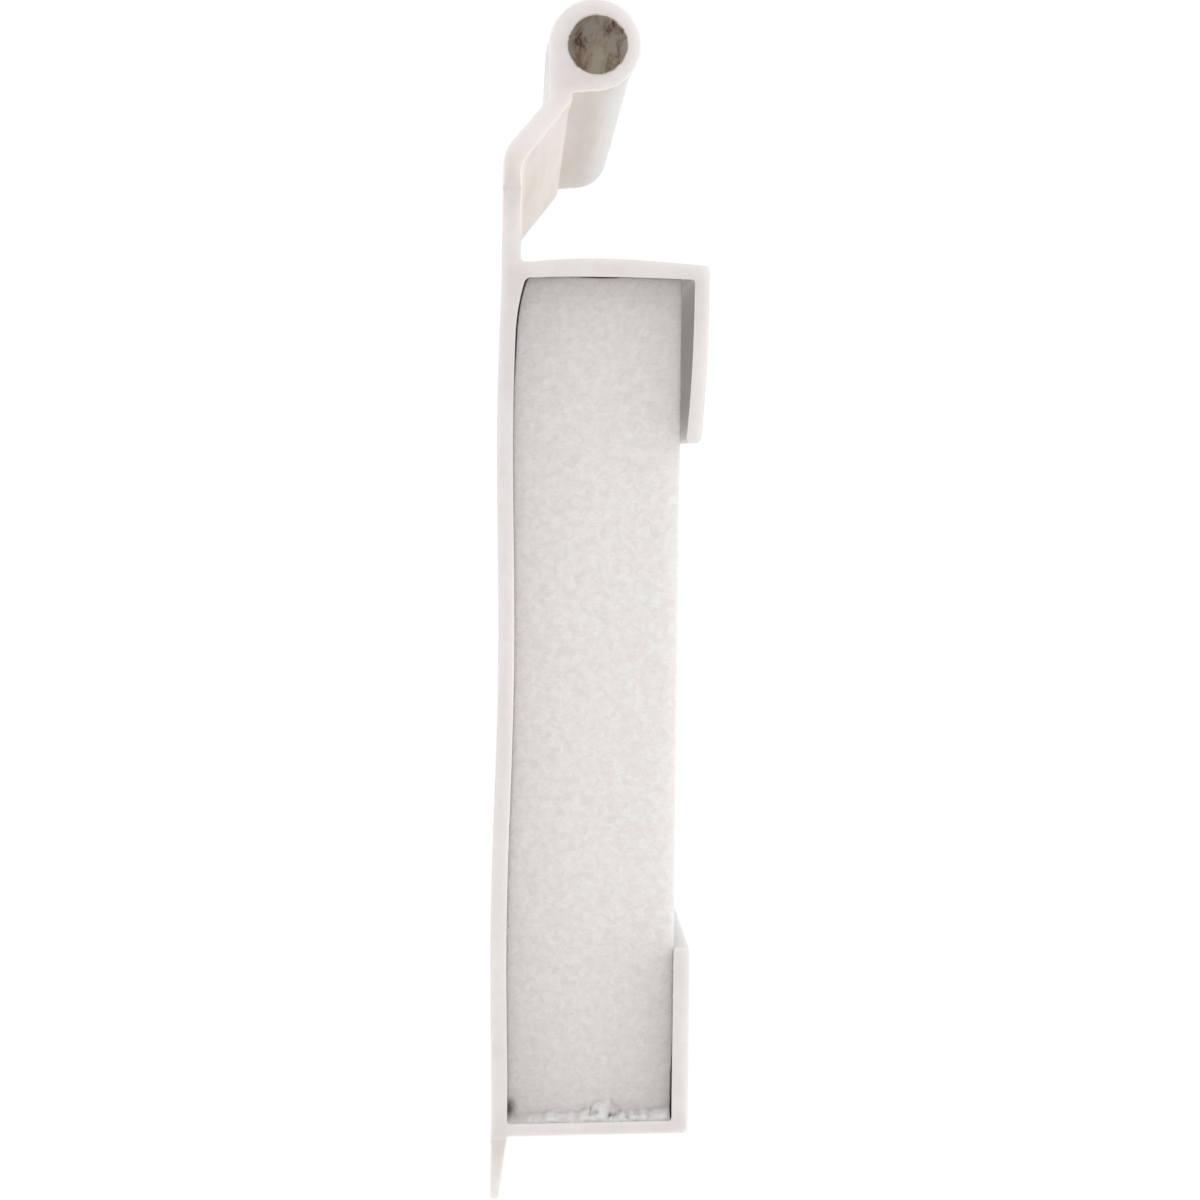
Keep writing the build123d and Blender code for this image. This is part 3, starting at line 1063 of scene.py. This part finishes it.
def makeFloor():
    s = studio
    half = s["floorSize"] / 2 * mm
    level = cadLow.z - s["floorDrop"] * mm
    mesh = bpy.data.meshes.new("floor")
    corners = [(x, y, level) for x, y in ((-half, -half), (half, -half), (half, half), (-half, half))]
    mesh.from_pydata(corners, [], [(0, 1, 2, 3)])
    material, tree = blankMaterial("paleFloor")
    shader = addNode(tree, "BsdfPrincipled", {
        "Base Color": linear(s["floorColour"]), "Roughness": 0.9, "Specular IOR Level": 0.1,
        "Emission Color": (1, 1, 1, 1), "Emission Strength": s["floorGlow"],
    })
    addNode(tree, "OutputMaterial", {}, {"Surface": (shader, "BSDF")})
    mesh.materials.append(material)
    floor = bpy.data.objects.new("floor", mesh)
    bpy.context.scene.collection.objects.link(floor)


def makeWorld():
    # an even white tent with a bright round patch straight behind the piece, by the angle from +Y
    s = studio
    world = bpy.data.worlds.new("softTent")
    bpy.context.scene.world = world
    world.use_nodes = True
    tree = world.node_tree
    tree.nodes.clear()
    coords = addNode(tree, "TexCoord")
    towards = addNode(tree, "VectorMath", {1: (0, 1, 0)}, {0: (coords, "Generated")},
                      operation="DOT_PRODUCT")
    outer, inner = math.cos(math.radians(s["patchOuter"])), math.cos(math.radians(s["patchInner"]))
    patch = addNode(tree, "MapRange", {
        "From Min": outer, "From Max": inner, "To Min": s["tent"], "To Max": s["patch"],
    }, {"Value": (towards, "Value")}, interpolation_type="SMOOTHSTEP")
    back = addNode(tree, "Background", {"Color": (1, 1, 1, 1)}, {"Strength": (patch, "Result")})
    addNode(tree, "OutputWorld", {}, {"Surface": (back, "Background")})


def makeSoftbox(name, power, size, away):
    # a round softbox that stands that far from the near cut and faces it
    lamp = bpy.data.lights.new(name, "AREA")
    lamp.shape = "DISK"
    lamp.size = size
    lamp.energy = power
    softbox = bpy.data.objects.new(name, lamp)
    bpy.context.scene.collection.objects.link(softbox)
    target = Vector((topHigh[0] / 2, nearY, 0)) * mm
    softbox.location = target + Vector(away)
    softbox.rotation_euler = (-Vector(away)).to_track_quat("-Z", "Y").to_euler()
    softbox.visible_camera = False


def makeCamera():
    # stands almost in line with the wall and well back, turned a fifth of a degree towards the
    # middle of the section, and rolled so that the wall leans
    s = studio
    camera = bpy.data.objects.new("camera", bpy.data.cameras.new("camera"))
    bpy.context.scene.collection.objects.link(camera)
    bpy.context.scene.camera = camera
    place = Vector((s["cameraX"], nearY - s["cameraAway"], s["cameraZ"])) * mm
    aim = Vector((s["aimX"], nearY, s["aimZ"])) * mm
    look = (aim - place).to_track_quat("-Z", "Y").to_matrix().to_4x4()
    roll = Matrix.Rotation(math.radians(s["roll"]), 4, "Z")
    camera.matrix_world = Matrix.Translation(place) @ look @ roll
    camera.data.sensor_width = s["sensor"]
    camera.data.lens = s["sensor"] * s["cameraAway"] / s["frameWidth"]
    camera.data.clip_start = 0.05
    camera.data.clip_end = 60


makeFloor()
makeWorld()
for side in ("front", "side"):
    makeSoftbox(side + "Softbox", studio[side + "Power"], studio[side + "Size"], studio[side + "From"])
makeCamera()
bpy.context.scene.view_settings.view_transform = "Standard"
print("studio made")
